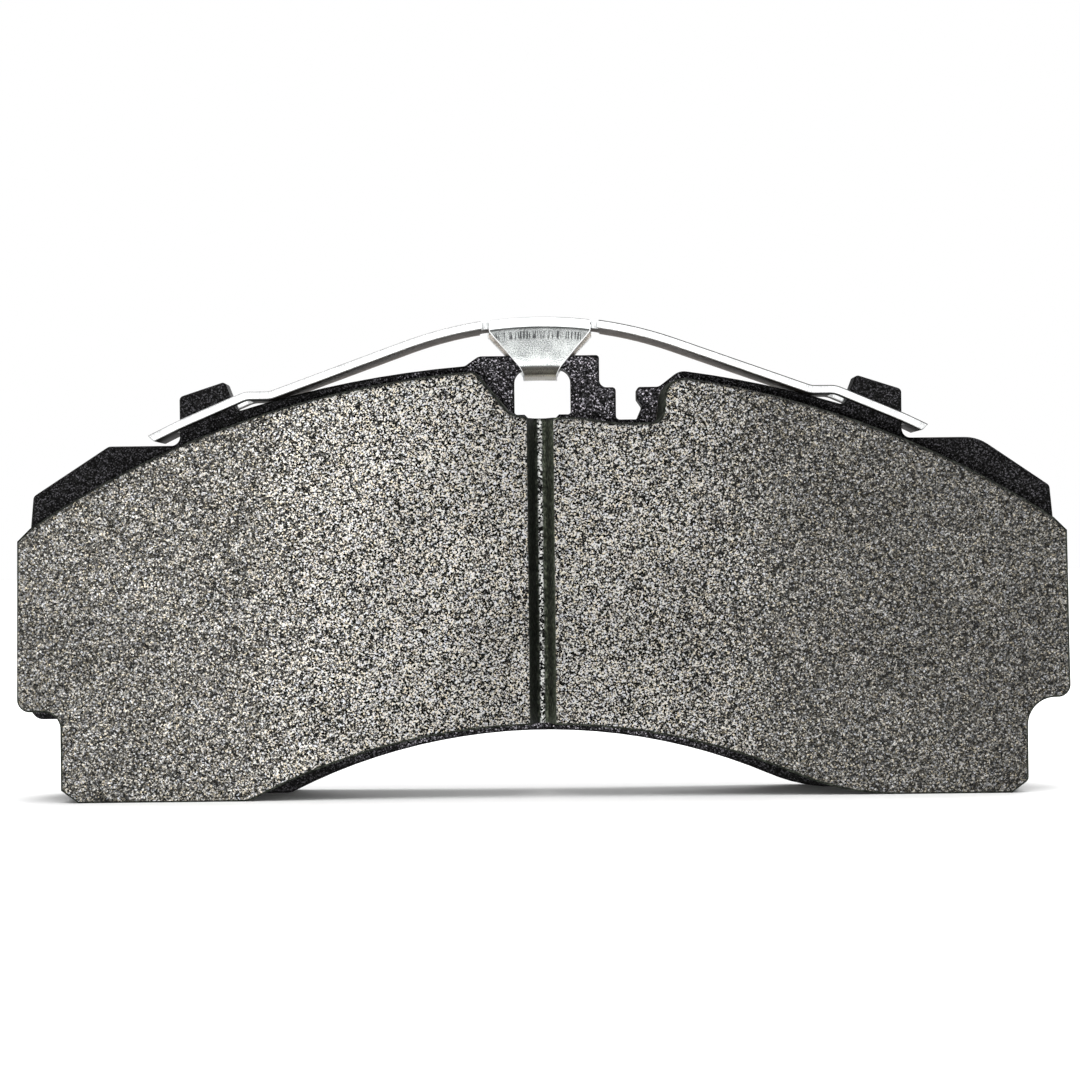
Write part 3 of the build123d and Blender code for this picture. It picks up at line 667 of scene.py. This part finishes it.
def blank_place(s):
    """A point's place across the flat blank: (centimetres from its middle, millimetres without a sign)."""
    across = s.split(s.texture.outputs["UV"])[1]
    return across, s.maths("MULTIPLY", s.maths("ABSOLUTE", across), 10.0)


def zinc_finish(s, colour, grain, rough, height, bump_distance, bump_strength):
    """Roughness runs between the two values of rough with the grain."""
    normal = s.bump(height, bump_distance, bump_strength)
    return s.finish(Base_Color=colour, Roughness=s.spread(grain, 0.3, 0.7, *rough), Normal=normal)


def zinc_outer():
    """The outer skin, with painted light: a painted highlight on both bends, painted shade just below the
    upper bend, over the lower bend and along the front fold's top, and a brown lip that is painted
    reflection; short die scores below the upper bend.
    """
    s, colour, grain = zinc_shader("zinc_outer", (0.13, 0.14, 0.14), (0.58, 0.60, 0.59), 0.25)
    across, reach = blank_place(s)
    x = s.split(s.texture.outputs["Object"])[0]
    # Painted light down the wing: a painted highlight on both bends, painted shade just below the upper
    # bend and over the lower bend, brighter towards the wing's foot.
    stops = [
        (0.0, 1.5), (FOLD_START, 1.5), (FLAP_START - 0.2, 1.9),
        (FLAP_START + 0.05, 0.10), (FLAP_START + 0.3, 0.12), (FLAP_START + 0.7, 0.75),
        (FLAP_START + 3.5, 0.95), (TURN_START - 2.6, 1.15), (TURN_START - 0.5, 2.3),
        (TURN_START + 0.1, 0.10), (TURN_START + 0.8, 0.10), (TURN_START + 1.2, 0.26),
        (TURN_START + 2.2, 0.20), (TURN_START + 2.8, 1.3), (LIP_START, 1.1),
    ]
    level = s.curve(reach, 0.0, WING_END, *[(at / WING_END, value) for at, value in stops])
    colour = s.times(colour, s.grey(level))
    # Painted highlight: near-white across the upper bend.
    fold = s.band(reach, FOLD_START + 0.4, FOLD_START + 1.2, FLAP_START - 0.1, FLAP_START)
    colour = s.mix(s.maths("MULTIPLY", fold, 0.85), colour, (0.90, 0.92, 0.92))
    # Painted shade: a near-black line along the top of the front fold, stronger towards +X.
    fold_top_shade = s.band(reach, FOLD_START + 0.2, FOLD_START + 0.3, FOLD_START + 0.9, FOLD_START + 1.2)
    fold_top_shade = s.maths("MULTIPLY", fold_top_shade, s.spread(across, 0.1, -0.1))
    shade_toward_plus_x = s.spread(x, -0.010, 0.010, 0.35, 0.95)
    colour = s.mix(s.maths("MULTIPLY", fold_top_shade, shade_toward_plus_x), colour, (0.02, 0.02, 0.02))
    # Painted reflection and shade: the lip past the lower bend, which faces down over the pad, is tinted
    # brown.
    colour = s.times(colour, (1.0, 0.90, 0.76), s.spread(reach, TURN_START, TURN_START + 0.4))
    below_fold = s.band(reach, FLAP_START + 0.9, FLAP_START + 1.1, FLAP_START + 2.6, FLAP_START + 3.2)
    score = s.noise(1.0, 1.0, s.scaled(24.0, 1.6, 1.0, uv=True))
    scored = s.maths("MULTIPLY", below_fold, s.spread(score, 0.50, 0.57))
    colour = s.mix(s.maths("MULTIPLY", scored, 0.9), colour, (0.012, 0.012, 0.014))
    return zinc_finish(s, colour, grain, (0.42, 0.6), s.maths("SUBTRACT", grain, scored), 0.00004, 0.6)


def zinc_inner_painted_light():
    """The inner skin, a dark brown copy of the zinc for shade and the pad's reflection: painted shade under
    the strip, darker still under the tails, and painted light on the wings.
    """
    s, colour, grain = zinc_shader("zinc_inner_painted_light", (0.030, 0.024, 0.020), (0.110, 0.090, 0.076), 0.0, 0.02)
    reach = blank_place(s)[1]
    x = s.split(s.texture.outputs["Object"])[0]
    # Painted shade: darker under the tails.
    colour = s.times(colour, (0.25, 0.25, 0.25), s.spread(s.maths("ABSOLUTE", x), 0.045, 0.070))
    # Painted light: the wings' inner faces are brightened about nine times.
    colour = s.times(colour, (8.0, 9.0, 9.6), s.spread(reach, FOLD_START, FLAP_START))
    return zinc_finish(s, colour, grain, (0.5, 0.7), grain, 0.00004, 0.5)


def zinc_rim_painted_highlight():
    # A near-white copy of the zinc for the rims: painted highlight.
    s, colour, grain = zinc_shader("zinc_rim_painted_highlight", (0.55, 0.56, 0.56), (0.97, 0.98, 0.98), 0.2)
    return zinc_finish(s, colour, grain, (0.3, 0.5), grain, 0.00003, 0.5)


def zinc_rounding():
    """The rims' rounding by the outer skin: near-white as painted highlight, but grey along the strip's
    edges, with painted shade that makes them darkest at +X.
    """
    s, colour, grain = zinc_shader("zinc_rounding", (0.20, 0.20, 0.20), (0.50, 0.50, 0.50), 0.2)
    reach = blank_place(s)[1]
    x = s.split(s.texture.outputs["Object"])[0]
    # Painted shade: darker towards +X.
    colour = s.times(colour, (0.05, 0.05, 0.05), s.spread(x, -0.010, 0.012))
    # Painted highlight: near-white away from the strip's long edges.
    edge = s.band(reach, LEAF_HALF - 0.5, LEAF_HALF - 0.4, LEAF_HALF + 0.1, LEAF_HALF + 0.2)
    colour = s.mix(edge, (0.90, 0.91, 0.91), colour)
    return zinc_finish(s, colour, grain, (0.4, 0.6), grain, 0.00003, 0.5)


def floor_material():
    s = Shader("studio_floor", Specular_IOR_Level=0.2)
    tone = s.ramp(s.noise(3, 4.0), (0.3, (0.92, 0.92, 0.92)), (0.7, (0.96, 0.96, 0.96)))
    return s.finish(Base_Color=tone, Roughness=s.spread(s.noise(90, 2.0), 0.3, 0.7, 0.7, 0.85))


# ---- pieces ----

leaf_crown, leaf_arm_left, leaf_arm_right = make_leaf()
leaf_skins = (zinc_outer(), zinc_inner_painted_light(), zinc_rim_painted_highlight(), zinc_rounding())
for piece in (leaf_crown, leaf_arm_left, leaf_arm_right):
    for zinc in leaf_skins:
        piece.data.materials.append(zinc)
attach(leaf_crown, "crown")
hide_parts("spring_crown")
for piece, arm, side in ((leaf_arm_left, "arm_left", -1), (leaf_arm_right, "arm_right", 1)):
    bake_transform(piece)
    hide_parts("spring_" + arm)

looks = {
    "backing_plate": plate_material(),
    "friction_lining": lining_material(),
    "underlayer": underlayer_material(),
    "adhesive_film": film_material(),
}
for name, material in looks.items():
    nodes[name].data.materials.clear()
    nodes[name].data.materials.append(material)

# ---- floor, light and camera ----

FLOOR_HALF = 4.0
floor_mesh = bmesh.new()
bmesh.ops.create_grid(floor_mesh, x_segments=8, y_segments=8, size=FLOOR_HALF)
floor_data = bpy.data.meshes.new("studio_floor")
floor_mesh.to_mesh(floor_data)
floor_mesh.free()
floor_object = bpy.data.objects.new("studio_floor", floor_data)
floor_data.materials.append(floor_material())
bpy.context.scene.collection.objects.link(floor_object)

VIEW_DISTANCE = 0.640
VIEW_HEIGHT = 0.061
VIEW_OFFSET = -0.0005
VIEW_ROLL = radians(-0.65)
FOCAL_LENGTH = 90.3
friction_y = cad_box[0][1]
camera_spot = Vector((VIEW_OFFSET, friction_y - VIEW_DISTANCE, VIEW_HEIGHT))
camera_data = bpy.data.cameras.new("camera")
camera_data.sensor_width = 36
camera_data.lens = FOCAL_LENGTH
camera = bpy.data.objects.new("camera", camera_data)
camera.matrix_world = (
    Matrix.Translation(camera_spot) @ Matrix.Rotation(pi / 2, 4, "X") @ Matrix.Rotation(VIEW_ROLL, 4, "Z")
)
bpy.context.scene.collection.objects.link(camera)
bpy.context.scene.camera = camera


def soft_light(name, spot, target, size, power):
    """A round lamp that faces a target: size in metres, power in watts."""
    lamp = bpy.data.lights.new(name, "AREA")
    lamp.shape = "DISK"
    lamp.size = size
    lamp.energy = power
    holder = bpy.data.objects.new(name, lamp)
    holder.location = spot
    holder.rotation_euler = (Vector(target) - Vector(spot)).to_track_quat("-Z", "Y").to_euler()
    bpy.context.scene.collection.objects.link(holder)


PAD_MIDDLE = (0, 0, 0.055)
KEY_FROM_CAMERA = Vector((-0.035, 0, -0.031))
SKY_STRENGTH = 3.5
SKY_ANGLE = radians(70)
soft_light("key", camera_spot + KEY_FROM_CAMERA, PAD_MIDDLE, 0.04, 2.4)
sky = bpy.data.lights.new("sky", "SUN")
sky.energy = SKY_STRENGTH
sky.angle = SKY_ANGLE
bpy.context.scene.collection.objects.link(bpy.data.objects.new("sky", sky))
soft_light("rear_fill", (0.4, 0.9, 0.4), PAD_MIDDLE, 0.6, 4.0)

# the world shows white behind the pad, and lights it at half that strength
world = bpy.data.worlds.new("studio")
world.use_nodes = True
background = world.node_tree.nodes["Background"]
background.inputs["Color"].default_value = (1, 1, 1, 1)
light_path = world.node_tree.nodes.new("ShaderNodeLightPath")
ambient = world.node_tree.nodes.new("ShaderNodeMapRange")
ambient.inputs["To Min"].default_value = 0.5
ambient.inputs["To Max"].default_value = 1.0
world.node_tree.links.new(light_path.outputs["Is Camera Ray"], ambient.inputs["Value"])
world.node_tree.links.new(ambient.outputs[0], background.inputs["Strength"])
bpy.context.scene.world = world
bpy.context.scene.view_settings.view_transform = "Standard"
